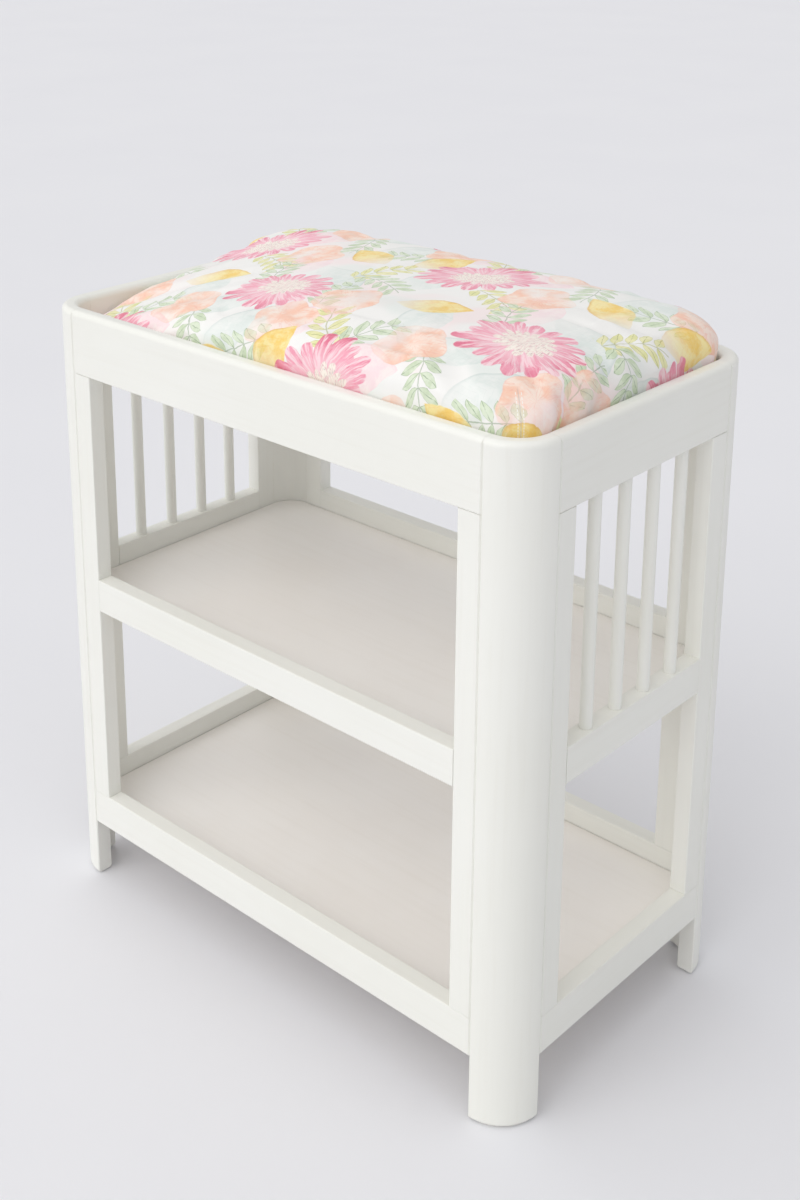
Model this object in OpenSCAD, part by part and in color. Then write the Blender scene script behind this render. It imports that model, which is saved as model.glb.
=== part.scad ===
// Changing table: quarter-round corner legs, framed faces, recessed shelves, sunken tray, lift-out mat.
// +Z is up, X runs along the table, the front faces -Y, and the origin is on the floor under the middle.

/* [Overall] */
// Length of the table, end to end
table_l = 850; // [760:10:1000]
// Depth of the table, front to rear
table_d = 480; // [440:10:600]
// Height of the rim above the floor
rim_h = 900; // [860:10:960]

/* [Frame] */
// Outer radius of a quarter-round leg
leg_r = 62; // [55:1:75]
// Thickness of the legs, aprons, rails and stiles
board_t = 24; // [22:1:26]
// Width of a stile
stile_w = 33; // [28:1:45]
// Height of an apron
apron_h = 91; // [85:1:110]
// Height of a middle rail
mid_h = 49; // [45:1:60]
// Height of the middle rail's top above the floor
mid_top = 503; // [460:1:540]
// Height of a bottom rail
bottom_h = 54; // [50:1:70]
// Height of the bottom rail's lower edge above the floor
bottom_z = 94; // [60:1:130]
// Rounding of the rim along its two top edges
rim_r = 8; // [4:1:10]
// Rounding of the other long edges
edge_r = 1.5; // [1:0.5:3]
// Depth of the V-shaped line along each leg joint
groove = 1.5; // [0.5:0.5:2]

/* [Slats] */
// Diameter of a slat
slat_d = 16; // [12:1:18]
// Number of slats in each end
slat_count = 4; // [3:1:5]
// Depth of a slat's blind hole
slat_in = 12; // [8:1:15]

/* [Boards] */
// Thickness of the tray floor and of the shelves
shelf_t = 9; // [6:1:12]
// Depth of a shelf's top below its rail's top
shelf_drop = 30.5; // [25:0.5:31]
// Depth of the tray below the rim
tray_depth = 50; // [30:1:52]
// Gap between a board's edge and the frame
shelf_gap = 1; // [0.5:0.5:3]
// Width of a batten
batten_w = 15; // [12:1:20]
// Height of a batten
batten_h = 9; // [8:1:12]

/* [Mat] */
// Length of the mat
mat_l = 798; // [600:2:800]
// Depth of the mat
mat_d = 428; // [360:2:430]
// Height of the mat's top above the rim
mat_rise = 58; // [20:1:70]
// Radius of the mat's corners, seen from above
mat_corner_r = 60; // [60:5:120]
// Rounding around the mat's top
mat_top_r = 42; // [20:1:45]
// Rounding around the mat's underside
mat_low_r = 14; // [5:1:20]
// Thickness of the mat's cover
cover_t = 2; // [1:0.5:3]
// Width of the cover's hem under the mat
hem_w = 70; // [50:5:90]

/* [Fasteners and glides] */
// Diameter of a joint dowel
dowel_d = 8; // [6:1:8]
// Length of a joint dowel
dowel_l = 30; // [24:2:36]
// Diameter of a batten screw
screw_d = 3.5; // [3:0.5:4]
// Length of a batten screw
screw_l = 25; // [20:1:30]
// Head diameter of a batten screw
screw_head_d = 6.5; // [6:0.5:7]
// Height of a countersunk head
screw_head_h = 2; // [1.5:0.5:2.5]
// Height of a floor glide
glide_h = 3; // [2:0.5:4]
// Distance of a glide's edges from the leg's faces
glide_inset = 5; // [4:0.5:8]

/* [Hidden] */
$fn = 64;
FACES = ["front", "right", "rear", "left"];
CORNERS = ["rear_right", "rear_left", "front_left", "front_right"];
LEVELS = ["tray", "mid", "bottom"];
SIDES = [-1, 1];

apron_z = rim_h - apron_h;
mid_z = mid_top - mid_h;
bottom_top = bottom_z + bottom_h;
shelf_r = leg_r - board_t - shelf_gap;
// Height of each board's top, in the order of LEVELS
level_top = [rim_h - tray_depth, mid_top - shelf_drop, bottom_top - shelf_drop];
// Heights of the dowels between a leg and the boards beside it
leg_dowel_z = [bottom_z + 12, bottom_z + 28, apron_z + 30, apron_z + 70];
// Heights of the dowels between a stile and a middle rail
mid_dowel_z = [mid_z + mid_h / 4, mid_top - mid_h / 4];
foot_r = 4;
mat_gap = 0.3;
mat_z = level_top[0] + mat_gap;
mat_h = rim_h + mat_rise - mat_z;

// Half the distance between the two legs of face k
function half(k) = (k % 2 == 0 ? table_l : table_d) / 2 - leg_r;
// Half the distance between the two stiles of face k
function open_half(k) = half(k) - stile_w;
// Distance of face k's outer surface from the origin
function outward(k) = (k % 2 == 0 ? table_d : table_l) / 2;
// Place of slat i along an end, measured from the middle
function slat_u(i) = let (gap = (2 * open_half(1) - slat_count * slat_d) / (slat_count + 1))
    -open_half(1) + (i + 1) * gap + (i + 0.5) * slat_d;
// Places of the screws along the batten of face k
function screw_us(k) = k % 2 == 0
    ? [for (i = [-1.5:1:1.5]) i * 2 * (open_half(k) - 30) / 3]
    : [-(open_half(k) - 35), open_half(k) - 35];

function stile_name(face, side) = str("stile_", face, side < 0 ? "_a" : "_b");

// Puts a shape drawn at the front (along X, depth +Y from the outer surface) onto face k
module on_face(k) {
    rotate(90 * k) translate([0, -outward(k), 0]) children();
}

// Puts a shape drawn around a leg's own axis, in its first quadrant, into corner c
module on_corner(c) {
    sx = (c == 0 || c == 3) ? 1 : -1;
    sy = c < 2 ? 1 : -1;
    translate([sx * (table_l / 2 - leg_r), sy * (table_d / 2 - leg_r), 0]) rotate(90 * c) children();
}

// Cross-section of a board: width board_t, height h, its top and low edges rounded
module section(h, r_top, r_low) {
    translate([0, r_low]) square([board_t, h - r_low - r_top]);
    translate([r_low, 0]) square([board_t - 2 * r_low, h / 2]);
    translate([r_top, h / 2]) square([board_t - 2 * r_top, h / 2]);
    for (x = [r_low, board_t - r_low]) translate([x, r_low]) circle(r = r_low);
    for (x = [r_top, board_t - r_top]) translate([x, h - r_top]) circle(r = r_top);
}

// Square prism that cuts a V line of the groove's depth into a vertical outer edge
module groove_cutter(h) {
    rotate(45) cube([groove * sqrt(2), groove * sqrt(2), 2 * h], center = true);
}

// Horizontal board of the given length, height and top rounding, centred on its length
module rail(l, h, r_top, grooved) {
    difference() {
        translate([-l / 2, 0, 0]) rotate([90, 0, 90]) linear_extrude(l) section(h, r_top, edge_r);
        if (grooved) for (s = SIDES) translate([s * l / 2, 0, h / 2]) groove_cutter(h);
    }
}

// Dowels that lie along face k at both ends of its boards
module leg_dowels(k, heights) {
    for (s = SIDES, z = heights) translate([s * half(k), board_t / 2, z]) rotate([0, 90, 0])
        cylinder(d = dowel_d, h = dowel_l, center = true);
}

// Dowels between the middle rail and the stiles of face k
module mid_dowels(k) {
    for (s = SIDES, z = mid_dowel_z) translate([s * open_half(k), board_t / 2, z]) rotate([0, 90, 0])
        cylinder(d = dowel_d, h = dowel_l, center = true);
}

// Upright dowels at one end of the stiles of face k
module stile_dowels(k, z) {
    for (s = SIDES) translate([s * (half(k) - stile_w / 2), board_t / 2, z])
        cylinder(d = dowel_d, h = dowel_l, center = true);
}

// Slat i of an end
module slat(i) {
    translate([slat_u(i), board_t / 2, mid_top - slat_in])
        cylinder(d = slat_d, h = apron_z - mid_top + 2 * slat_in);
}

module all_slats(k) {
    if (k % 2 == 1) for (i = [0:slat_count - 1]) slat(i);
}

// Countersunk screws that hold the batten of face k at the given height
module screws(k, z) {
    for (u = screw_us(k)) translate([u, board_t + batten_w, z]) rotate([90, 0, 0]) {
        cylinder(d = screw_d, h = screw_l);
        cylinder(d1 = screw_head_d, d2 = screw_d, h = screw_head_h);
    }
}

// Height of a batten's middle at a level
function batten_mid(level) = level_top[level] - shelf_t - batten_h / 2;

module leg() {
    color("ivory") difference() {
        translate([0, 0, glide_h]) rotate_extrude(angle = 90) translate([leg_r, 0]) mirror([1, 0])
            section(rim_h - glide_h, rim_r, foot_r);
        for (p = [[leg_r, 0], [0, leg_r]]) translate([p[0], p[1], rim_h / 2]) groove_cutter(rim_h);
        for (z = leg_dowel_z) {
            translate([leg_r - board_t / 2, 0, z]) rotate([90, 0, 0])
                cylinder(d = dowel_d, h = dowel_l, center = true);
            translate([0, leg_r - board_t / 2, z]) rotate([0, 90, 0])
                cylinder(d = dowel_d, h = dowel_l, center = true);
        }
    }
}

module apron(k) {
    color("ivory") difference() {
        translate([0, 0, apron_z]) rail(2 * half(k), apron_h, rim_r, true);
        leg_dowels(k, [for (z = leg_dowel_z) if (z > apron_z) z]);
        stile_dowels(k, apron_z);
        all_slats(k);
        screws(k, batten_mid(0));
    }
}

module rail_mid(k) {
    color("ivory") difference() {
        translate([0, 0, mid_z]) rail(2 * open_half(k), mid_h, edge_r, false);
        mid_dowels(k);
        all_slats(k);
        screws(k, batten_mid(1));
    }
}

module rail_bottom(k) {
    color("ivory") difference() {
        translate([0, 0, bottom_z]) rail(2 * half(k), bottom_h, edge_r, true);
        leg_dowels(k, [for (z = leg_dowel_z) if (z < bottom_top) z]);
        stile_dowels(k, bottom_top);
        screws(k, batten_mid(2));
    }
}

// Plan section of a stile, its free edges at x = 0 rounded
module stile_section() {
    translate([edge_r, 0]) square([stile_w - edge_r, board_t]);
    translate([0, edge_r]) square([stile_w, board_t - 2 * edge_r]);
    for (y = [edge_r, board_t - edge_r]) translate([edge_r, y]) circle(r = edge_r);
}

// Upright board beside a leg, on side s of face k
module stile(k, s) {
    color("ivory") difference() {
        mirror([s < 0 ? 1 : 0, 0, 0]) translate([open_half(k), 0, bottom_top])
            linear_extrude(apron_z - bottom_top) stile_section();
        translate([s * half(k), 0, rim_h / 2]) groove_cutter(rim_h);
        stile_dowels(k, apron_z);
        stile_dowels(k, bottom_top);
        mid_dowels(k);
    }
}

// Board with rounded corners, its top at the given height
module inner_board(top) {
    l = table_l - 2 * (board_t + shelf_gap);
    d = table_d - 2 * (board_t + shelf_gap);
    color("linen") translate([0, 0, top - shelf_t]) linear_extrude(shelf_t) {
        square([l, d - 2 * shelf_r], center = true);
        square([l - 2 * shelf_r, d], center = true);
        for (x = SIDES, y = SIDES) translate([x * (l / 2 - shelf_r), y * (d / 2 - shelf_r)])
            circle(r = shelf_r);
    }
}

module batten(k, level) {
    l = 2 * half(k) - 6;
    color("burlywood") difference() {
        translate([-l / 2, board_t, level_top[level] - shelf_t - batten_h]) cube([l, batten_w, batten_h]);
        screws(k, batten_mid(level));
    }
}

// Quarter-ring pad under a leg
module glide() {
    color("white") rotate(15) rotate_extrude(angle = 60)
        translate([leg_r - board_t + glide_inset, 0]) square([board_t - 2 * glide_inset, glide_h]);
}

// Solid of revolution that rounds a mat corner of plan radius c with edge rounding e
module corner_ring(c, e) {
    rotate_extrude($fn = 32) intersection() {
        translate([c - e, 0]) circle(r = e, $fn = 24);
        translate([0, -e]) square([c, 2 * e]);
    }
}

// Cushion with rounded corners and edges, smaller all round by inset
module cushion(inset) {
    c = mat_corner_r - inset;
    x = mat_l / 2 - mat_corner_r;
    y = mat_d / 2 - mat_corner_r;
    top = mat_z + mat_h - inset - (mat_top_r - inset);
    low = mat_z + inset + (mat_low_r - inset);
    hull() for (i = SIDES, j = SIDES) {
        translate([i * x, j * y, top]) corner_ring(c, mat_top_r - inset);
        translate([i * x, j * y, low]) corner_ring(c, mat_low_r - inset);
    }
}

module mat_core() {
    color("white") cushion(cover_t);
}

// Fitted cover: closed over the top and sides, open underneath inside its hem
module mat_cover() {
    color("mistyrose") difference() {
        cushion(0);
        cushion(cover_t);
        translate([0, 0, mat_z]) cube([mat_l - 2 * hem_w, mat_d - 2 * hem_w, 4 * cover_t], center = true);
    }
}

module show(name) {
    children();
}

for (c = [0:3]) show(str("leg_", CORNERS[c])) on_corner(c) leg();
for (k = [0:3]) show(str("apron_", FACES[k])) on_face(k) apron(k);
for (k = [0:3]) show(str("rail_mid_", FACES[k])) on_face(k) rail_mid(k);
for (k = [0:3]) show(str("rail_bottom_", FACES[k])) on_face(k) rail_bottom(k);
for (k = [0:3], s = SIDES) show(stile_name(FACES[k], s)) on_face(k) stile(k, s);
for (k = [1, 3], i = [0:slat_count - 1]) show(str("slat_", FACES[k], "_", i + 1))
    on_face(k) color("ivory") slat(i);
show("tray_floor") inner_board(level_top[0]);
show("shelf_mid") inner_board(level_top[1]);
show("shelf_bottom") inner_board(level_top[2]);
for (l = [0:2], k = [0:3]) show(str("batten_", LEVELS[l], "_", FACES[k])) on_face(k) batten(k, l);
show("dowels_leg_joints") color("tan") for (k = [0:3]) on_face(k) leg_dowels(k, leg_dowel_z);
show("dowels_stile_joints") color("tan") for (k = [0:3]) on_face(k) {
    stile_dowels(k, apron_z);
    stile_dowels(k, bottom_top);
    mid_dowels(k);
}
show("batten_screws") color("silver") for (l = [0:2], k = [0:3]) on_face(k) screws(k, batten_mid(l));
for (c = [0:3]) show(str("glide_", CORNERS[c])) on_corner(c) glide();
show("mat_core") mat_core();
show("mat_cover") mat_cover();
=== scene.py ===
"""Changing table: painted frame from the CAD, with a padded mat in a printed cotton cover.

Metres, +Z up, the front faces -Y.
"""

import math

import bmesh
import bpy
import numpy as np
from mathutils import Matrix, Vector


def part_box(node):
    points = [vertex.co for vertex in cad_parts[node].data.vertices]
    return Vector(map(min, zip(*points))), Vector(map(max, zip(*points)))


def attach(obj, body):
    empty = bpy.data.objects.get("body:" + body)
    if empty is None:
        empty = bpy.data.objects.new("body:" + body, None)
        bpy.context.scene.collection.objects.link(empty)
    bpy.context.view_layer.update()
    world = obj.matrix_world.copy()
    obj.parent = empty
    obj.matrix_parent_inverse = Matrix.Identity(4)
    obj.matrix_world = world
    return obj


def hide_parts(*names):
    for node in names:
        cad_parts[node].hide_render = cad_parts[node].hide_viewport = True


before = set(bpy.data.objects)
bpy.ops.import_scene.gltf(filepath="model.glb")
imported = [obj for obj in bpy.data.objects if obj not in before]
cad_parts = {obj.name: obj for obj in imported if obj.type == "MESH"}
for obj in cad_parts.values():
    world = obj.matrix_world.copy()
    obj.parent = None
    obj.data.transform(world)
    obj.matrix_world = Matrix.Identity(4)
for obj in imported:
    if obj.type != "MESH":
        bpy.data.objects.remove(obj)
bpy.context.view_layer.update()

TAU = 2 * math.pi
MM = 0.001

# ---------------------------------------------------------------- places taken from the frame

RIM_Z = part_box("apron_front")[1].z
MAT_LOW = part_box("mat_cover")[0]
WALL_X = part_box("apron_right")[0].x
WALL_Y = -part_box("apron_front")[1].y
LEG_LOW, LEG_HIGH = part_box("leg_front_right")
BOARD_T = LEG_HIGH.x - WALL_X
LEG_R = LEG_HIGH.x - LEG_LOW.x
TRAY_CORNER_R = LEG_R - BOARD_T


# ---------------------------------------------------------------- camera, floor and light

def add_camera():
    """Three-quarter view from the front right, above the rim."""
    data = bpy.data.cameras.new("camera")
    data.sensor_width = 36
    data.lens = 48.78
    data.shift_x = 0.0334
    data.shift_y = -0.25
    camera = bpy.data.objects.new("camera", data)
    camera.location = (1.3949, -1.5454, 1.5304)
    camera.rotation_euler = (math.radians(90 - 15.954), 0, math.radians(42.910))
    bpy.context.scene.collection.objects.link(camera)
    bpy.context.scene.camera = camera


def add_sun(name, direction, strength, angle, colour):
    """Very soft light that falls evenly over the whole floor; direction points from the object to it."""
    data = bpy.data.lights.new(name, "SUN")
    data.energy = strength
    data.angle = math.radians(angle)
    data.color = colour
    light = bpy.data.objects.new(name, data)
    light.rotation_euler = Vector(direction).to_track_quat("Z", "Y").to_euler()
    bpy.context.scene.collection.objects.link(light)


def add_floor():
    """Plain pale floor, wide enough to fill the view."""
    mesh = bpy.data.meshes.new("floor")
    half = 40
    corners = [(-half, -half, 0), (half, -half, 0), (half, half, 0), (-half, half, 0)]
    mesh.from_pydata(corners, [], [(0, 1, 2, 3)])
    floor = bpy.data.objects.new("floor", mesh)
    bpy.context.scene.collection.objects.link(floor)
    tree = Tree("floor_paint")
    cloud = tree.noise(tree.place(), 1.5, 3)
    tree.colour(tree.mix(cloud, srgb(233, 233, 237), srgb(237, 237, 240)))
    tree.shader.inputs["Roughness"].default_value = 0.75
    floor.data.materials.append(tree.material)


def add_world():
    world = bpy.data.worlds.new("studio")
    world.use_nodes = True
    background = world.node_tree.nodes["Background"]
    background.inputs["Color"].default_value = (0.965, 0.975, 1.0, 1)
    background.inputs["Strength"].default_value = 0.49
    bpy.context.scene.world = world


# ---------------------------------------------------------------- short forms for material nodes

def srgb(red, green, blue):
    """Linear colour of an 8-bit one."""
    def linear(value):
        value /= 255
        return value / 12.92 if value <= 0.04045 else ((value + 0.055) / 1.055) ** 2.4
    return (linear(red), linear(green), linear(blue), 1)


class Wire:
    """An output socket that takes part in arithmetic."""

    def __init__(self, tree, socket):
        self.tree = tree
        self.socket = socket

    def __add__(self, other):
        return self.tree.math("ADD", self, other)

    def __sub__(self, other):
        return self.tree.math("SUBTRACT", self, other)

    def __rsub__(self, other):
        return self.tree.math("SUBTRACT", other, self)

    def __mul__(self, other):
        return self.tree.math("MULTIPLY", self, other)

    def __pow__(self, other):
        return self.tree.math("POWER", self, other)

    def __abs__(self):
        return self.tree.math("ABSOLUTE", self)


class Tree:
    """A new material's nodes, built by plain expressions."""

    def __init__(self, name):
        self.material = bpy.data.materials.new(name)
        self.material.use_nodes = True
        self.nodes = self.material.node_tree.nodes
        self.links = self.material.node_tree.links
        self.shader = self.nodes["Principled BSDF"]

    def feed(self, socket, value):
        if isinstance(value, Wire):
            self.links.new(value.socket, socket)
        else:
            socket.default_value = value

    def node(self, kind, inputs, output=0, **settings):
        node = self.nodes.new("ShaderNode" + kind)
        for key, value in settings.items():
            setattr(node, key, value)
        for key, value in inputs.items():
            self.feed(node.inputs[key], value)
        return Wire(self, node.outputs[output])

    def math(self, operation, first, second=0.0, clamp=False):
        inputs = {0: first, 1: second}
        return self.node("Math", inputs, operation=operation, use_clamp=clamp)

    def vector(self, operation, first, second=(0, 0, 0), third=(0, 0, 0), output=0):
        inputs = {0: first, 1: second, 2: third}
        return self.node("VectorMath", inputs, output, operation=operation)

    def mix(self, factor, first, second):
        inputs = {"Factor": factor, 6: first, 7: second}
        return self.node("Mix", inputs, 2, data_type="RGBA")

    def mix_vector(self, factor, first, second):
        inputs = {"Factor": factor, 4: first, 5: second}
        return self.node("Mix", inputs, 1, data_type="VECTOR")

    def place(self):
        return self.node("TexCoord", {}, "Object")

    def attribute(self, name):
        return self.node("Attribute", {}, "Vector", attribute_name=name)

    def split(self, vector):
        parts = self.nodes.new("ShaderNodeSeparateXYZ")
        self.feed(parts.inputs[0], vector)
        return [Wire(self, socket) for socket in parts.outputs]

    def join(self, x, y, z=0.0):
        return self.node("CombineXYZ", {0: x, 1: y, 2: z})

    def stretch(self, vector, scale):
        return self.vector("MULTIPLY", vector, scale)

    def noise(self, vector, scale, detail=2, roughness=0.5, output="Fac"):
        inputs = {"Vector": vector, "Scale": scale, "Detail": detail, "Roughness": roughness}
        return self.node("TexNoise", inputs, output)

    def ramp(self, value, low, high, start=0.0, end=1.0):
        """Smooth step of value from low to high, as start to end."""
        inputs = {"Value": value, "From Min": low, "From Max": high, "To Min": start, "To Max": end}
        return self.node("MapRange", inputs, interpolation_type="SMOOTHSTEP")

    def bump(self, height, strength, distance, under=None):
        inputs = {"Height": height, "Strength": strength, "Distance": distance}
        if under is not None:
            inputs["Normal"] = under
        return self.node("Bump", inputs)

    def colour(self, wire):
        self.feed(self.shader.inputs["Base Color"], wire)

    def roughness(self, wire):
        self.feed(self.shader.inputs["Roughness"], wire)

    def normal(self, wire):
        self.feed(self.shader.inputs["Normal"], wire)

    def set(self, **values):
        for key, value in values.items():
            self.shader.inputs[key.replace("_", " ")].default_value = value


# ---------------------------------------------------------------- paint, wood, metal and plastic

def along(axis, length_scale, cross_scale):
    """Scale that stretches a pattern along one axis."""
    scale = [cross_scale] * 3
    scale[axis] = length_scale
    return tuple(scale)


def painted_wood(name, axis, light, deep):
    """Satin paint over wood: faint grain, roller stipple, soft tone changes and rubbed edges."""
    tree = Tree(name)
    place = tree.place()
    grain = tree.noise(tree.stretch(place, along(axis, 5, 130)), 1, 4, 0.6)
    tone = tree.noise(place, 4, 3)
    stipple = tree.noise(place, 900, 2)
    rounded = tree.node("Bevel", {"Radius": 1.2 * MM}, samples=4)
    flat = tree.node("NewGeometry", {}, "Normal")
    turned = tree.vector("DOT_PRODUCT", rounded, flat, output="Value")
    patchy = tree.ramp(tree.noise(place, 55, 3), 0.42, 0.6)
    edge = tree.ramp(turned, 0.995, 0.9) * patchy
    body = tree.mix(tree.ramp(tone, 0.35, 0.65), light, deep)
    body = tree.mix(tree.ramp(grain, 0.45, 0.75) * 0.05, body, srgb(205, 196, 176))
    tree.colour(tree.mix(edge * 0.22, body, srgb(196, 184, 160)))
    tree.roughness(tree.ramp(tree.noise(place, 24, 3), 0.3, 0.7, 0.36, 0.46) + edge * 0.12)
    under = tree.bump(grain, 0.10, 0.4 * MM, rounded)
    tree.normal(tree.bump(stipple, 0.10, 0.15 * MM, under))
    tree.set(Coat_Weight=0.12, Coat_Roughness=0.25, IOR=1.48)
    return tree.material


def bare_wood(name, axis, light, dark):
    """Planed softwood: long growth lines, fine pores."""
    tree = Tree(name)
    place = tree.place()
    warp = tree.noise(tree.stretch(place, along(axis, 3, 25)), 1, 3, 0.5, "Color")
    bent = tree.vector("MULTIPLY_ADD", warp, (0.02, 0.02, 0.02), place)
    rings = tree.noise(tree.stretch(bent, along(axis, 4, 240)), 1, 3, 0.55)
    pores = tree.noise(tree.stretch(place, along(axis, 60, 1500)), 1, 2)
    wood = tree.mix(tree.ramp(rings, 0.35, 0.68), light, dark)
    tree.colour(tree.mix(tree.ramp(pores, 0.62, 0.75) * 0.35, wood, srgb(150, 112, 72)))
    tree.roughness(tree.ramp(rings, 0.3, 0.7, 0.55, 0.68))
    tree.normal(tree.bump(rings, 0.35, 0.3 * MM))
    return tree.material


def zinc_steel(name):
    """Zinc-plated screw steel with a brushed, slightly uneven plating."""
    tree = Tree(name)
    place = tree.place()
    cloud = tree.noise(place, 260, 3)
    scratch = tree.noise(tree.stretch(place, (3000, 300, 300)), 1, 2)
    tree.colour(tree.mix(tree.ramp(cloud, 0.3, 0.7), srgb(176, 178, 182), srgb(206, 205, 198)))
    tree.roughness(tree.ramp(cloud, 0.3, 0.7, 0.24, 0.42))
    tree.normal(tree.bump(scratch, 0.25, 0.05 * MM))
    tree.set(Metallic=1.0)
    return tree.material


def moulded_plastic(name):
    """White nylon glide: fine spark texture and scuffs near the floor."""
    tree = Tree(name)
    place = tree.place()
    texture = tree.noise(place, 2200, 2)
    scuff = tree.ramp(tree.noise(tree.stretch(place, (300, 300, 1200)), 1, 4), 0.5, 0.68)
    tree.colour(tree.mix(scuff * 0.6, srgb(232, 230, 224), srgb(176, 170, 160)))
    tree.roughness(scuff * 0.2 + 0.5)
    tree.normal(tree.bump(texture, 0.3, 0.08 * MM))
    return tree.material


PAINT_LIGHT = srgb(243, 243, 237)
PAINT_DEEP = srgb(241, 241, 234)
# The shelves' and tray's paint is the frame's white made lighter: painted light, standing in for the light
# that bounces about inside the frame.
BOARD_LIT_PALE = srgb(251, 248, 244)
BOARD_LIT_DEEP = srgb(249, 245, 240)
PINE_LIGHT = srgb(226, 196, 150)
PINE_DARK = srgb(196, 154, 100)
BEECH_LIGHT = srgb(214, 172, 126)
BEECH_DARK = srgb(184, 138, 92)


def dress_frame():
    """Gives every CAD node of the frame its finish, with the grain along the piece."""
    paints = [painted_wood("paint_along_" + "xyz"[a], a, PAINT_LIGHT, PAINT_DEEP) for a in range(3)]
    # Shelves and tray get a lighter copy of the frame's paint: painted light for the inside of the frame.
    lit_board = painted_wood("lit_paint_board", 0, BOARD_LIT_PALE, BOARD_LIT_DEEP)
    pine = [bare_wood("pine_along_" + "xyz"[a], a, PINE_LIGHT, PINE_DARK) for a in range(2)]
    beech = bare_wood("beech", 2, BEECH_LIGHT, BEECH_DARK)
    steel = zinc_steel("zinc_steel")
    nylon = moulded_plastic("nylon")
    for name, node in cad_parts.items():
        low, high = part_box(name)
        size = high - low
        longest = max(range(3), key=lambda a: size[a])
        if name.startswith("batten_screws"):
            finish = steel
        elif name.startswith("batten_"):
            finish = pine[longest]
        elif name.startswith("dowels_"):
            finish = beech
        elif name.startswith("glide_"):
            finish = nylon
        elif name.startswith(("tray_", "shelf_")):
            finish = lit_board
        else:
            finish = paints[longest]
        node.data.materials.clear()
        node.data.materials.append(finish)


# ---------------------------------------------------------------- mat: shape

MAT_FLOOR = MAT_LOW.z + 0.2 * MM
MAT_HALF = np.array([WALL_X, WALL_Y]) - 1.5 * MM
MAT_TOP = 0.959          # at the full rear right part, without the crown
MAT_MIDDLE = 0.875       # a height between the underside and the top
CROWN = 6 * MM
FRONT_LEFT_SINK = 0.042
LEFT_END_DROP = 19 * MM
RIGHT_END_DROP = 10 * MM
FRONT_EDGE_DROP = 13 * MM
UNDER_STEPS = (0.205, 0.15, 0.10, 0.05)     # how far in from the edge the flat rings lie
TOP_STEPS = (0.05, 0.07, 0.10, 0.13, 0.16, 0.19, 0.205)
ARC_RINGS = 7
NEAR_FLOOR = 3 * MM      # counts as the underside
RIM_ROUND = 8 * MM       # of the rim's inner edge
OVERHANG = 4 * MM        # more room for the cover above the rim
SLACK = 5 * MM           # how far the unfilled cover stands inside the filled one
PRESSURE = 5.0
GROWTH = 0.02            # of the cloth while it fills
FILL_FRAMES = 20
SWELL_ROUNDS = 40        # of blurring, which leave the broad swell
CREASE = 3.4 * MM        # most that a crease moves a point of the cover
VOXEL = 8.2 * MM
CORNER_R = 52 * MM       # of the mat in plan, where it leaves the tray
TOP_R = 34 * MM
LOW_R = 14 * MM
BULGE = 2.5 * MM         # over the rim's inner edge
HEM_W = 70 * MM          # of the cover turned in under the mat, up to its elastic
HEM_ROLL = 3.2 * MM
HEM_CORNER_R = 30 * MM
HEM_POINTS = 640
HEM_SIDES = 10
COVER_T = 1.2 * MM
SEAM_DEPTH = 2.2 * MM
ARC_POINTS = 9
SIDE_POINTS = 24


def step(value, low, high):
    """0 up to low, 1 from high on, and smooth between."""
    share = np.clip((value - low) / (high - low), 0, 1)
    return share * share * (3 - 2 * share)


def mat_top(x, y):
    """Height of the filled mat: full at the rear and right, sinking towards the front left corner."""
    crown = CROWN * (1 - (x / MAT_HALF[0]) ** 2) * (1 - (y / MAT_HALF[1]) ** 2)
    leftward = 1 - step(x, -0.42, 0.06)
    forward = np.clip((0.205 - y) / 0.27, 0, 1.25)
    left_end = LEFT_END_DROP * (1 - step(x, -0.44, -0.22))
    right_end = RIGHT_END_DROP * step(x, 0.22, 0.42)
    front_edge = FRONT_EDGE_DROP * (1 - step(y, -0.215, -0.07))
    return MAT_TOP + crown - FRONT_LEFT_SINK * leftward * forward - left_end - right_end - front_edge


def outline(half, radius):
    """Points around a rounded rectangle, as many on a small one as on a large one."""
    arcs = []
    for turn, signs in enumerate([(1, 1), (-1, 1), (-1, -1), (1, -1)]):
        middle = np.array(signs) * (half - radius)
        angles = np.linspace(turn, turn + 1, ARC_POINTS) * TAU / 4
        arcs.append(middle + radius * np.stack([np.cos(angles), np.sin(angles)], 1))
    pieces = []
    for turn in range(4):
        side = np.linspace(arcs[turn][-1], arcs[(turn + 1) % 4][0], SIDE_POINTS)[1:-1]
        pieces += [arcs[turn], side]
    return np.concatenate(pieces)


def cushion_rings():
    """The filled mat's skin as rings from the middle of its underside to the middle of its top."""
    quarter = np.linspace(0, TAU / 4, ARC_RINGS)
    low = [(away, 0.0, None) for away in UNDER_STEPS]
    low += [(LOW_R * (1 - math.sin(a)), LOW_R * (1 - math.cos(a)), None) for a in quarter]
    top = [(TOP_R * (1 - math.cos(a)), None, TOP_R * (1 - math.sin(a))) for a in quarter]
    top += [(away, None, 0.0) for away in TOP_STEPS]
    rings = []
    for away, above_floor, below_top in low + top:
        half = MAT_HALF - away
        widen = 0.8 * away if above_floor is None else 0.0
        plan = outline(half, min(CORNER_R + widen, half.min() - MM))
        if above_floor is None:
            height = mat_top(plan[:, 0], plan[:, 1]) - below_top
        else:
            height = np.full(len(plan), MAT_FLOOR + above_floor)
        rings.append(np.column_stack([plan, height]))
    return rings


def mesh_object(name, points, faces):
    mesh = bpy.data.meshes.new(name)
    mesh.from_pydata([tuple(p) for p in points], [], faces)
    made = bpy.data.objects.new(name, mesh)
    bpy.context.scene.collection.objects.link(made)
    return made


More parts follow.
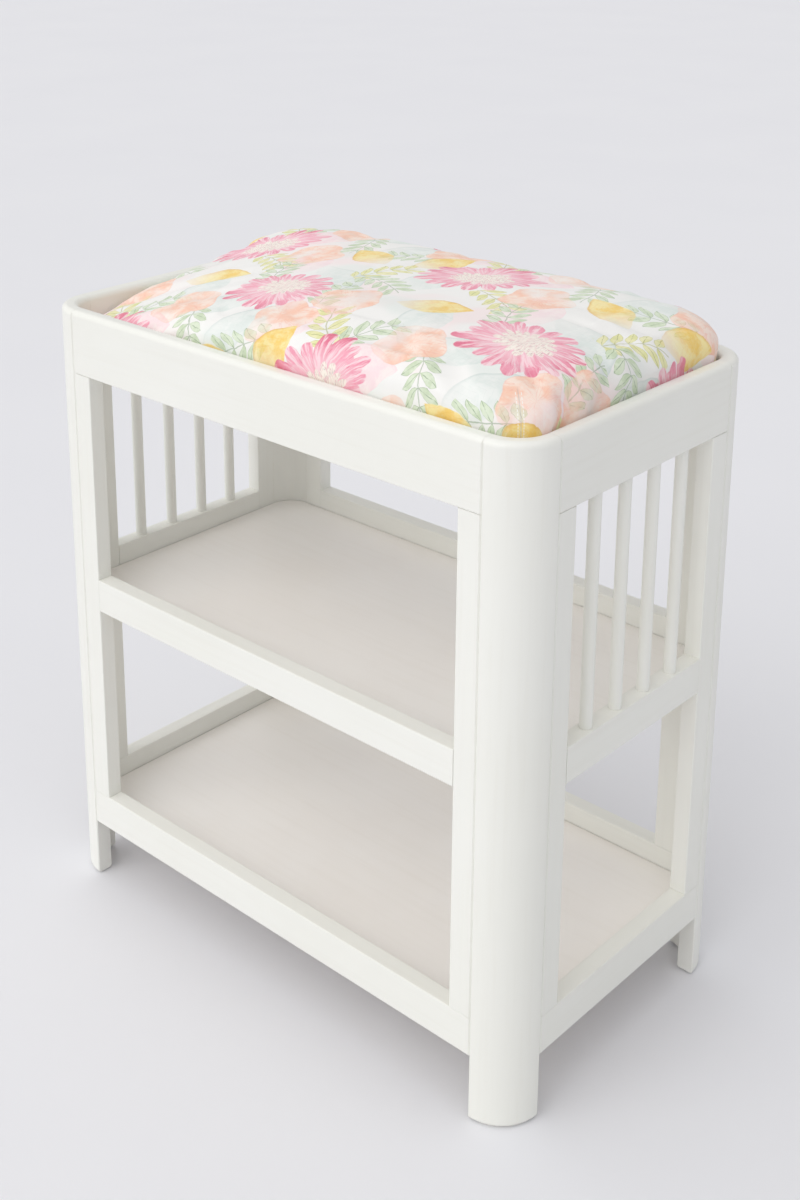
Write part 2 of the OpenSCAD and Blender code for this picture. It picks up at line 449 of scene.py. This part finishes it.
def skin(name, rings):
    """Closed mesh over a stack of rings."""
    count = len(rings[0])
    faces = [tuple(reversed(range(count)))]
    for ring in range(len(rings) - 1):
        for i in range(count):
            j = (i + 1) % count
            start = ring * count
            faces.append((start + i, start + j, start + count + j, start + count + i))
    faces.append(tuple(range((len(rings) - 1) * count, len(rings) * count)))
    return mesh_object(name, np.concatenate(rings), faces)


def coordinates(mesh):
    flat = np.empty(len(mesh.vertices) * 3)
    mesh.vertices.foreach_get("co", flat)
    return flat.reshape(-1, 3)


def normals(mesh):
    flat = np.empty(len(mesh.vertices) * 3)
    mesh.vertices.foreach_get("normal", flat)
    return flat.reshape(-1, 3)


def move(made, points):
    made.data.vertices.foreach_set("co", points.astype(np.float32).ravel())
    made.data.update()


def remesh(made, size):
    bpy.context.view_layer.objects.active = made
    made.data.remesh_voxel_size = size
    bpy.ops.object.voxel_remesh()


def blurred(mesh, values, rounds):
    """Values at the mesh's points, averaged with their neighbours that many times."""
    ends = np.empty(len(mesh.edges) * 2, int)
    mesh.edges.foreach_get("vertices", ends)
    a, b = ends.reshape(-1, 2).T
    count = np.bincount(ends, minlength=len(values))[:, None]
    for _ in range(rounds):
        total = np.zeros_like(values)
        for axis in range(values.shape[1]):
            total[:, axis] += np.bincount(a, values[b, axis], len(values))
            total[:, axis] += np.bincount(b, values[a, axis], len(values))
        values = 0.5 * values + 0.5 * total / count
    return values


def filled(made, pinned):
    """Places of the mesh's points after its cover is filled by pressure; pinned points stay."""
    group = made.vertex_groups.new(name="pinned")
    group.add([int(i) for i in np.nonzero(pinned)[0]], 1.0, "REPLACE")
    cloth = made.modifiers.new("filling", "CLOTH")
    cloth.point_cache.frame_end = FILL_FRAMES
    settings = cloth.settings
    settings.quality = 5
    settings.mass = 0.3
    settings.tension_stiffness = 18
    settings.compression_stiffness = 12
    settings.bending_stiffness = 0.25
    settings.use_pressure = True
    settings.uniform_pressure_force = PRESSURE
    settings.shrink_min = -GROWTH
    settings.vertex_group_mass = "pinned"
    settings.effector_weights.gravity = 0
    for number in range(1, FILL_FRAMES + 1):
        bpy.context.scene.frame_set(number)
    seen = made.evaluated_get(bpy.context.evaluated_depsgraph_get())
    points = coordinates(seen.data)
    made.modifiers.remove(cloth)
    made.vertex_groups.remove(group)
    bpy.context.scene.frame_set(1)
    return points


def beyond(points, half, radius):
    """How far each point lies outside a rounded rectangle, and the way out of it."""
    away = np.abs(points[:, :2]) - (half - radius)
    outside = np.maximum(away, 0)
    length = np.linalg.norm(outside, axis=1)
    distance = length + np.minimum(away.max(1), 0) - radius
    nearest = np.where(away[:, :1] > away[:, 1:], [[1.0, 0.0]], [[0.0, 1.0]])
    way = np.where(length[:, None] > 1e-9, outside / np.maximum(length, 1e-9)[:, None], nearest)
    return distance, way * np.sign(points[:, :2])


def swell_over_rim(points):
    """Lets the sides stand proud of the tray's wall just above the rim."""
    distance, way = beyond(points, MAT_HALF, CORNER_R)
    height = points[:, 2] - RIM_Z
    share = step(height, -8 * MM, 12 * MM) * (1 - step(height, 16 * MM, 50 * MM))
    near = step(distance, -30 * MM, 0)
    points[:, :2] += (BULGE * share * near)[:, None] * way
    return points


def rest_in_tray(points):
    """Presses the points back inside the tray's walls and onto its floor; above the rim they may bulge."""
    start = RIM_Z - RIM_ROUND
    up = np.clip((points[:, 2] - start) / RIM_ROUND, 0, 1)
    room = RIM_ROUND * (1 - np.sqrt(1 - up ** 2))
    room += OVERHANG * step(points[:, 2], RIM_Z, RIM_Z + 20 * MM)
    distance, way = beyond(points, MAT_HALF, TRAY_CORNER_R)
    over = np.maximum(distance - room, 0)
    points[:, :2] -= over[:, None] * way
    points[:, 2] = np.maximum(points[:, 2], MAT_FLOOR)
    return points


def creases(cover):
    """The small waves that filling leaves in the cover, without its broad swell."""
    full = coordinates(cover.data)
    start = full - SLACK * normals(cover.data)
    move(cover, start)
    after = filled(cover, full[:, 2] < MAT_FLOOR + NEAR_FLOOR)
    move(cover, full)
    fine = blurred(cover.data, after - blurred(cover.data, after, SWELL_ROUNDS), 1)
    length = np.linalg.norm(fine, axis=1)[:, None]
    return fine * np.minimum(1, CREASE / np.maximum(length, 1e-9))


def dart(points):
    """Distance from the seam that runs down each corner; far away on the sides between them."""
    past = np.abs(points[:, :2]) - (MAT_HALF - CORNER_R)
    across = np.abs(past[:, 0] - past[:, 1]) / math.sqrt(2)
    return np.where(past.min(1) > 0.25 * CORNER_R, across, 1.0)


def sew(points):
    """Draws the cover in along the four corner seams."""
    pull = SEAM_DEPTH * np.exp(-(dart(points) / (4 * MM)) ** 2)
    way = beyond(points, MAT_HALF, CORNER_R)[1]
    points[:, :2] -= pull[:, None] * way
    return points


def unrolled(points):
    """Place of each point on the flat cloth: the plan, carried on down the sides and under the mat."""
    distance, way = beyond(points, MAT_HALF, CORNER_R)
    drop = np.maximum(mat_top(points[:, 0], points[:, 1]) - points[:, 2], 0)
    turning = TOP_R * np.arctan2(np.maximum(distance + TOP_R, 0), np.maximum(TOP_R - drop, 1e-6))
    run = turning + np.maximum(drop - TOP_R, 0) - np.maximum(distance + TOP_R, 0)
    run = np.where(distance > -TOP_R, run, 0)
    under = points[:, 2] < MAT_FLOOR + LOW_R
    run = np.where(under, TOP_R * TAU / 4 + drop - 2 * TOP_R - 2 * distance, run)
    return points[:, :2] + way * run[:, None]


def store_print(made, plan):
    """Keeps the cloth's own places on the mesh, for the printed pattern."""
    flat = np.column_stack([plan, np.zeros(len(plan))]).astype(np.float32)
    attribute = made.data.attributes.new("print", "FLOAT_VECTOR", "POINT")
    attribute.data.foreach_set("vector", flat.ravel())


def cut_opening(cover):
    """Cuts the underside away inside the hem."""
    mesh = bmesh.new()
    mesh.from_mesh(cover.data)
    inside = []
    for face in mesh.faces:
        centre = np.array([face.calc_center_median()])
        low = centre[0, 2] < MAT_FLOOR + NEAR_FLOOR
        if low and beyond(centre, MAT_HALF, CORNER_R)[0][0] < -HEM_W:
            inside.append(face)
    bmesh.ops.delete(mesh, geom=inside, context="FACES")
    mesh.to_mesh(cover.data)
    mesh.free()


def finish_surface(made, thickness=0.0):
    """Smooth shading, one subdivision and the cloth's thickness."""
    for face in made.data.polygons:
        face.use_smooth = True
    finer = made.modifiers.new("finer", "SUBSURF")
    finer.levels = 1
    finer.render_levels = 1
    if thickness:
        shell = made.modifiers.new("thickness", "SOLIDIFY")
        shell.thickness = thickness
        shell.offset = -1


def make_mat():
    """The stuffed, printed cover and the foam core that fills it."""
    cover = skin("mat_cover_printed", cushion_rings())
    remesh(cover, VOXEL)
    shape = coordinates(cover.data)
    within = beyond(shape, MAT_HALF, CORNER_R)[0] < -TOP_R - 8 * MM
    top = within & (shape[:, 2] > MAT_MIDDLE)
    shape[top, 2] = mat_top(shape[top, 0], shape[top, 1])
    store_print(cover, unrolled(shape))
    move(cover, swell_over_rim(shape))
    shape = shape + creases(cover)
    move(cover, rest_in_tray(sew(shape)))
    foam = bpy.data.objects.new("mat_foam", cover.data.copy())
    bpy.context.scene.collection.objects.link(foam)
    core = coordinates(cover.data) - (COVER_T + MM) * normals(cover.data)
    core[:, 2] = np.maximum(core[:, 2], MAT_FLOOR + 1.6 * HEM_ROLL)
    move(foam, core)
    cut_opening(cover)
    finish_surface(cover, COVER_T)
    finish_surface(foam)
    return cover, foam


def make_hem():
    """The gathered channel with the elastic in it, around the opening under the mat."""
    path = outline(MAT_HALF - HEM_W, HEM_CORNER_R)
    lengths = np.linalg.norm(np.roll(path, -1, 0) - path, axis=1)
    along_path = np.concatenate([[0], np.cumsum(lengths)])
    closed = np.vstack([path, path[:1]])
    places = np.linspace(0, along_path[-1], HEM_POINTS, endpoint=False)
    line = np.column_stack([np.interp(places, along_path, closed[:, axis]) for axis in range(2)])
    ahead = np.roll(line, -1, 0) - np.roll(line, 1, 0)
    ahead /= np.linalg.norm(ahead, axis=1)[:, None]
    side = np.column_stack([ahead[:, 1], -ahead[:, 0]])
    gather = 1 + 0.16 * np.sin(places / (2.6 * MM)) + 0.10 * np.sin(places / (1.7 * MM) + 1)
    points = []
    for number in range(HEM_SIDES):
        angle = number * TAU / HEM_SIDES
        radius = HEM_ROLL * gather * (0.95 + 0.05 * math.cos(3 * angle))
        plan = line + side * (radius * math.cos(angle))[:, None]
        height = MAT_FLOOR + 1.1 * HEM_ROLL + radius * math.sin(angle)
        points.append(np.column_stack([plan, np.maximum(height, MAT_FLOOR)]))
    count = len(line)
    faces = []
    for number in range(HEM_SIDES):
        here = number * count
        there = (number + 1) % HEM_SIDES * count
        for i in range(count):
            j = (i + 1) % count
            faces.append((here + i, here + j, there + j, there + i))
    points = np.concatenate(points)
    hem = mesh_object("mat_elastic_hem", points, faces)
    store_print(hem, points[:, :2])
    for face in hem.data.polygons:
        face.use_smooth = True
    return hem


# ---------------------------------------------------------------- mat: cloth and foam

PRINT_W = 400 * MM       # repeat of the pattern
PRINT_H = 350 * MM
BLOOM_R = 78 * MM
STITCH = 3.4 * MM
THREAD = 1.3 * MM        # one over and one under of the weave
GROUND = srgb(245, 244, 241)
PINK_LIGHT = srgb(253, 218, 224)
PINK = srgb(246, 158, 182)
PINK_DEEP = srgb(226, 92, 130)
CREAM = srgb(253, 246, 234)
PEACH = srgb(252, 202, 176)
PEACH_LIGHT = srgb(254, 230, 215)
PEACH_DEEP = srgb(244, 170, 146)
GOLD = srgb(247, 208, 98)
GOLD_LIGHT = srgb(252, 234, 164)
GOLD_DEEP = srgb(226, 174, 68)
SAGE = srgb(221, 232, 207)
SAGE_DARK = srgb(201, 217, 183)
SAGE_LINE = srgb(140, 164, 128)

# Where the motifs lie within one repeat: x, y in millimetres and the turn in degrees.
BLOOMS = [(96, 92, 35), (296, 262, 160)]
PEACHES = [(212, 60, 10), (30, 250, 80), (190, 192, 140), (386, 176, 30)]
GOLDEN = [(304, 86, 150), (136, 296, 20), (6, 116, 70)]
SPRIGS = [(120, 186, 60), (352, 118, 200), (226, 330, 110), (20, 334, -20), (246, 136, -70), (392, 268, 100)]
SPRIGS_YELLOW = [(180, 20, -30), (64, 180, 130), (376, 30, 60)]
PALE_LEAVES = [(60, 30, 70), (250, 200, 20), (160, 250, 110), (340, 330, -30), (330, 150, 50)]
PALE_PETALS = [(150, 130, 10), (20, 180, 60), (240, 20, 120), (370, 230, 160)]


def nearest(tree, cloth, spots):
    """Place within the nearest of the spots, which return with every repeat of the pattern."""
    half = (PRINT_W / 2, PRINT_H / 2, 1)
    best = None
    shortest = None
    for x, y, turn in spots:
        away = tree.vector("SUBTRACT", cloth, (x * MM, y * MM, 0))
        away = tree.vector("WRAP", away, half, tuple(-h for h in half))
        inputs = {"Vector": away, "Angle": -math.radians(turn)}
        away = tree.node("VectorRotate", inputs, rotation_type="Z_AXIS")
        length = tree.vector("LENGTH", away, output="Value")
        if best is None:
            best, shortest = away, length
        else:
            best = tree.mix_vector(tree.math("LESS_THAN", length, shortest), best, away)
            shortest = tree.math("MINIMUM", length, shortest)
    return best


def petals(tree, place, count, radius, shift):
    """A ring of pointed petals: how far inside it a place is, and its place across its petal."""
    x, y, _ = tree.split(place)
    angle = tree.math("ARCTAN2", y, x) * (count / TAU) + shift
    length = tree.vector("LENGTH", place, output="Value")
    bend = tree.ramp(length, 0, radius, 0, 0.35)
    turn = angle + bend
    across = abs(tree.math("FRACT", turn) - 0.5) * 2
    number = tree.math("FLOOR", turn)
    uneven = tree.node("TexWhiteNoise", {"W": number}, "Value", noise_dimensions="1D")
    reach = (uneven * 0.22 + 0.86) * (1 - across ** 2.6 * 0.32) * radius
    return tree.ramp(reach - length, -0.4 * MM, 1.6 * MM), across, length


def bloom(tree, cloth, below):
    """Large pink flower: rings of pointed petals in brush strokes around a domed cream centre."""
    place = nearest(tree, cloth, BLOOMS)
    place = tree.vector("MULTIPLY", place, (0.88, 1.10, 1))
    x, y, _ = tree.split(place)
    angle = tree.math("ARCTAN2", y, x)
    length = tree.vector("LENGTH", place, output="Value")
    strokes = tree.noise(tree.join(angle * 11, length * 18), 1, 3, 0.65)
    rosier = tree.ramp(tree.noise(cloth, 14, 2), 0.35, 0.65, 0.25, 1.0)
    picture = below
    rings = [(17, BLOOM_R, 0.0, 1.0), (15, 0.86 * BLOOM_R, 0.4, 0.85), (13, 0.70 * BLOOM_R, 0.7, 0.5)]
    for count, radius, shift, depth in rings:
        inside, across, length = petals(tree, place, count, radius, shift)
        tone = tree.mix(tree.ramp(strokes, 0.42, 0.56) * depth, PINK_LIGHT, PINK)
        tip = tree.ramp(length, 0.60 * radius, radius) * tree.ramp(strokes, 0.40, 0.58)
        tone = tree.mix(tip * rosier * depth, tone, PINK_DEEP)
        edge = tree.ramp(across, 0.62, 0.95) * tree.ramp(strokes, 0.30, 0.5)
        tone = tree.mix(edge * depth * 0.6, tone, PINK_DEEP)
        picture = tree.mix(inside * 0.95, picture, tone)
    dome = tree.vector("ADD", place, (0, 0.10 * BLOOM_R, 0))
    centre, across, length = petals(tree, dome, 17, 0.50 * BLOOM_R, 0.2)
    x, y, _ = tree.split(dome)
    fan = tree.math("ARCTAN2", x, y + BLOOM_R)
    dashes = tree.noise(tree.join(fan * 90, y * 110), 1, 1)
    heart = tree.mix(tree.ramp(dashes, 0.52, 0.60) * 0.6, CREAM, srgb(222, 164, 174))
    flecks = tree.noise(tree.join(fan * 70, y * 150, 4.0), 1, 1)
    heart = tree.mix(tree.ramp(flecks, 0.60, 0.66) * 0.5, heart, srgb(170, 160, 158))
    return tree.mix(centre * 0.95, picture, heart)


def peach_blossom(tree, cloth, below):
    """Rounded blossom of soft lobes, darker where the wash has dried at its edge."""
    place = nearest(tree, cloth, PEACHES)
    x, y, _ = tree.split(place)
    angle = tree.math("ARCTAN2", y, x)
    length = tree.vector("LENGTH", place, output="Value")
    lobes = tree.math("COSINE", angle * 5) * 0.08 + tree.math("COSINE", angle * 3 + 1) * 0.07
    depth = (lobes + 1) * 46 * MM - length
    wash = tree.noise(cloth, 38, 3, 0.6)
    tone = tree.mix(tree.ramp(wash, 0.38, 0.60), PEACH_LIGHT, PEACH)
    tone = tree.mix(tree.ramp(depth, 3.5 * MM, 0.5 * MM) * 0.35, tone, PEACH_DEEP)
    folds = tree.ramp(abs(tree.noise(tree.join(angle * 4, length * 16), 1, 2) - 0.5), 0.025, 0.0)
    tone = tree.mix(folds * 0.45, tone, PEACH_DEEP)
    solid = tree.ramp(tree.noise(tree.vector("ADD", cloth, (5, 2, 0)), 16, 2), 0.36, 0.58, 0.35, 0.95)
    return tree.mix(tree.ramp(depth, 0, 2 * MM) * solid, below, tone)


def broad_leaf(tree, cloth, below, spots, size, tones, share_kept):
    """Broad pointed leaf in light, full and edge tones, fading towards one end."""
    half_length, half_width = size
    light, full, deep = tones
    place = nearest(tree, cloth, spots)
    x, y, _ = tree.split(place)
    share = tree.math("MULTIPLY", abs(x), 1 / half_length, clamp=True)
    depth = (1 - share ** 1.7) * half_width - abs(y)
    wash = tree.noise(cloth, 42, 3, 0.6)
    tone = tree.mix(tree.ramp(wash, 0.38, 0.62), full, light)
    rim = tree.ramp(depth, 0.2 * half_width, 0.5 * MM) * tree.ramp(y, -0.3 * half_width, 0.5 * half_width)
    tone = tree.mix(rim * 0.7, tone, deep)
    veins = abs(tree.math("FRACT", (x + abs(y) * 0.8) * (1 / (10 * MM))) - 0.5)
    tone = tree.mix(tree.ramp(veins, 0.06, 0.01) * 0.25, tone, deep)
    kept = tree.ramp(x + wash * 0.6 * half_length, -0.7 * half_length, 0.6 * half_length, 0.25, 1.0)
    return tree.mix(tree.ramp(depth, 0, 1.8 * MM) * kept * share_kept, below, tone)


def sprig(tree, cloth, below, spots, tones):
    """Stem with paired leaves, each with a darker outline and midrib."""
    light, full, line = tones
    place = nearest(tree, cloth, spots)
    x, y, _ = tree.split(place)
    away = abs(y + x * x * 3.5)
    leaf_pitch = 20 * MM
    leaf_length = 27 * MM
    across = (tree.math("FRACT", (x - away * 0.75) * (1 / leaf_pitch)) - 0.5) * leaf_pitch
    share = tree.math("MULTIPLY", away, 1 / leaf_length, clamp=True)
    depth = tree.math("SINE", share * (TAU / 2)) * 9 * MM - abs(across)
    on_stem = tree.ramp(abs(x), 50 * MM, 48 * MM)
    tone = tree.mix(tree.ramp(tree.noise(cloth, 70, 3), 0.4, 0.62), light, full)
    border = tree.ramp(depth, 1.5 * MM, 0.5 * MM)
    midrib = tree.ramp(abs(across), 0.9 * MM, 0.3 * MM)
    mark = tree.math("MAXIMUM", border, midrib)
    broken = tree.ramp(tree.noise(cloth, 130, 2), 0.38, 0.56, 0.2, 0.9)
    tone = tree.mix(mark * broken, tone, line)
    picture = tree.mix(tree.ramp(depth, 0, 0.8 * MM) * on_stem * 0.92, below, tone)
    stem = tree.ramp(away, 1.2 * MM, 0.5 * MM) * on_stem
    return tree.mix(stem * 0.6, picture, line)


def corner_seam(tree, place):
    """Distance from the cover's corner seams, and whether a place is on a corner."""
    x, y, z = tree.split(place)
    past_x = abs(x) - float(MAT_HALF[0] - CORNER_R)
    past_y = abs(y) - float(MAT_HALF[1] - CORNER_R)
    across = abs(past_x - past_y) * (1 / math.sqrt(2))
    corner = tree.ramp(tree.math("MINIMUM", past_x, past_y), 10 * MM, 16 * MM)
    return across, corner, z


def watercolour(tree, cloth):
    """Generic print: blooms, blossoms, leaves and sprigs over a washed ground."""
    drift = tree.vector("SUBTRACT", tree.noise(cloth, 32, 3, 0.55, "Color"), (0.5, 0.5, 0.5))
    cloth_drawn = tree.vector("MULTIPLY_ADD", drift, (9 * MM, 9 * MM, 0), cloth)
    blush = tree.ramp(tree.noise(cloth, 7, 2), 0.50, 0.66)
    mint = tree.ramp(tree.noise(tree.vector("ADD", cloth, (3, 7, 0)), 8, 2), 0.52, 0.68)
    ground = tree.mix(blush * 0.55, GROUND, srgb(252, 228, 228))
    ground = tree.mix(mint * 0.55, ground, srgb(226, 236, 230))
    mint_tones = (srgb(236, 240, 236), srgb(223, 232, 227), srgb(198, 210, 206))
    blush_tones = (srgb(253, 236, 234), srgb(250, 222, 226), srgb(244, 204, 212))
    picture = broad_leaf(tree, cloth_drawn, ground, PALE_LEAVES, (80 * MM, 34 * MM), mint_tones, 0.9)
    picture = broad_leaf(tree, cloth_drawn, picture, PALE_PETALS, (62 * MM, 36 * MM), blush_tones, 0.85)
    yellow_tones = (srgb(240, 236, 184), srgb(226, 226, 152), srgb(168, 172, 96))
    picture = sprig(tree, cloth_drawn, picture, SPRIGS_YELLOW, yellow_tones)
    picture = sprig(tree, cloth_drawn, picture, SPRIGS, (SAGE, SAGE_DARK, SAGE_LINE))
    picture = peach_blossom(tree, cloth_drawn, picture)
    gold_tones = (GOLD_LIGHT, GOLD, GOLD_DEEP)
    picture = broad_leaf(tree, cloth_drawn, picture, GOLDEN, (52 * MM, 30 * MM), gold_tones, 0.95)
    picture = bloom(tree, cloth_drawn, picture)
    soaked = tree.ramp(tree.noise(cloth, 300, 2), 0.3, 0.7, 0.0, 0.10)
    return tree.mix(soaked, picture, GROUND)


def seam_and_stitches(tree):
    """Where the corner seams' joint and its row of stitches show."""
    across, corner, height = corner_seam(tree, tree.place())
    joint = tree.ramp(across, 1.2 * MM, 0.3 * MM) * corner
    stitch_line = tree.ramp(abs(across - 3.2 * MM), 0.7 * MM, 0.3 * MM)
    dash = tree.ramp(abs(tree.math("FRACT", height * (1 / STITCH)) - 0.5), 0.38, 0.30)
    return joint, stitch_line * dash * corner


def printed_cotton(name):
    """Plain-weave cotton with the print and the corner seams."""
    tree = Tree(name)
    cloth = tree.attribute("print")
    picture = watercolour(tree, cloth)
    joint, stitch = seam_and_stitches(tree)
    picture = tree.mix(joint * 0.45, picture, srgb(196, 190, 186))
    tree.colour(tree.mix(stitch * 0.8, picture, srgb(255, 254, 250)))
    x, y, _ = tree.split(cloth)
    warp_thread = tree.math("SINE", x * (TAU / THREAD))
    weft_thread = tree.math("SINE", y * (TAU / THREAD))
    slub = tree.noise(tree.stretch(cloth, (60, 900, 1)), 1, 2)
    relief = warp_thread * weft_thread * 0.5 + slub - joint * 3.0 + stitch * 1.5
    tree.normal(tree.bump(relief, 0.35, 0.22 * MM))
    tree.roughness(tree.ramp(slub, 0.3, 0.7, 0.78, 0.88))
    tree.set(Sheen_Weight=0.22, Sheen_Roughness=0.45, IOR=1.45)
    return tree.material


def open_foam(name):
    """Cut polyurethane foam: cream, full of small pores."""
    tree = Tree(name)
    place = tree.place()
    pores = tree.node("TexVoronoi", {"Vector": place, "Scale": 620.0}, "Distance")
    cells = tree.noise(place, 260, 4, 0.7)
    tone = tree.mix(tree.ramp(cells, 0.35, 0.65), srgb(240, 230, 200), srgb(228, 214, 176))
    # The pores are painted darker than the foam around them: painted shade inside the holes.
    tree.colour(tree.mix(tree.ramp(pores, 0.30, 0.12) * 0.4, tone, srgb(188, 170, 128)))
    tree.roughness(tree.ramp(cells, 0.3, 0.7, 0.84, 0.94))
    tree.normal(tree.bump(pores, 0.6, 0.6 * MM))
    return tree.material


# ---------------------------------------------------------------- making

bpy.context.scene.view_settings.view_transform = "Standard"
add_camera()
add_floor()
add_world()
add_sun("key", (-0.80, -0.42, 0.85), 0.88, 110, (1.0, 0.985, 0.965))
add_sun("fill", (-0.10, -0.85, 0.53), 0.84, 60, (1.0, 0.99, 0.98))
add_sun("top_right", (0.40, -0.20, 0.88), 0.45, 60, (1.0, 0.99, 0.98))
dress_frame()
cotton = printed_cotton("printed_cotton")
foam_finish = open_foam("foam")
cover, foam = make_mat()
hem = make_hem()
for piece, finish, slot in [
    (cover, cotton, "printed_cotton"),
    (hem, cotton, "printed_cotton"),
    (foam, foam_finish, "foam"),
]:
    piece.data.materials.append(finish)
    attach(piece, "mat")
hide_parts("mat_cover")
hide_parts("mat_core")
